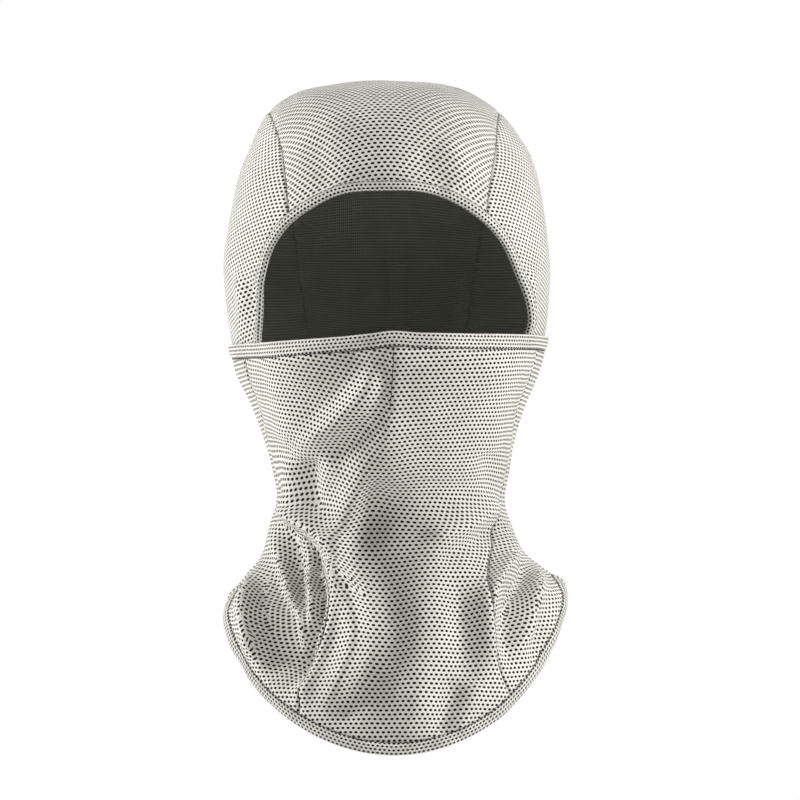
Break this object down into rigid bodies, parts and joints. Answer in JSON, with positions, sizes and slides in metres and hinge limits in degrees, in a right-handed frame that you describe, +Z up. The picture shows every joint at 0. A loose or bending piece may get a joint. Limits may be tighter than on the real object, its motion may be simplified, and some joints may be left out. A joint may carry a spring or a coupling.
{
  "type": "balaclava",
  "caption": "Lightweight full-face balaclava of pin-dot mesh knit with a wide face opening, a pull-down mask hem and a rounded neck bib.",
  "frame": {"origin": "on the middle of the crown, where the top of the wearer's head holds the balaclava up", "axes": "+Z up towards the crown, -Y the way the face looks, +X the wearer's left"},
  "size_m": [0.1766, 0.2156, 0.3419],
  "materials": {
    "mesh_knit": "pale warm grey polyester knit with rows of small dark pin dots, matt",
    "binding_knit": "the same knit folded double as binding and hems, matt",
    "lining_knit": "charcoal fine ribbed knit, matt",
    "thread": "grey polyester sewing thread",
    "elastic": "black flat braided elastic"
  },
  "bodies": {
    "hood": {"crown_panel": "mesh_knit", "left_hood_panel": "mesh_knit", "right_hood_panel": "mesh_knit", "hood_lining": "lining_knit", "face_opening_binding": "binding_knit", "face_binding_stitching": "thread", "left_crown_seam": "thread", "right_crown_seam": "thread", "chin_seam": "thread", "front_panel": "mesh_knit", "left_neck_panel": "mesh_knit", "right_neck_panel": "mesh_knit", "back_panel": "mesh_knit", "left_front_seam": "thread", "right_front_seam": "thread", "left_side_seam": "thread", "right_side_seam": "thread", "nape_seam": "thread", "nose_dart_seam": "thread", "bottom_hem": "binding_knit", "bottom_hem_stitching": "thread"},
    "mask_edge": {"mask_top_hem": "binding_knit", "mask_hem_elastic": "elastic", "mask_hem_stitching": "thread"}
  },
  "joints": [
    {"name": "mask_pull_down", "type": "hinge", "parent": "hood", "child": "mask_edge", "pos_m": [0, 0.014, -0.135], "axis": [1, 0, 0], "range_deg": [0, 40], "deforming": ["front_panel", "left_neck_panel", "right_neck_panel", "left_front_seam", "right_front_seam", "nose_dart_seam"]}
  ]
}
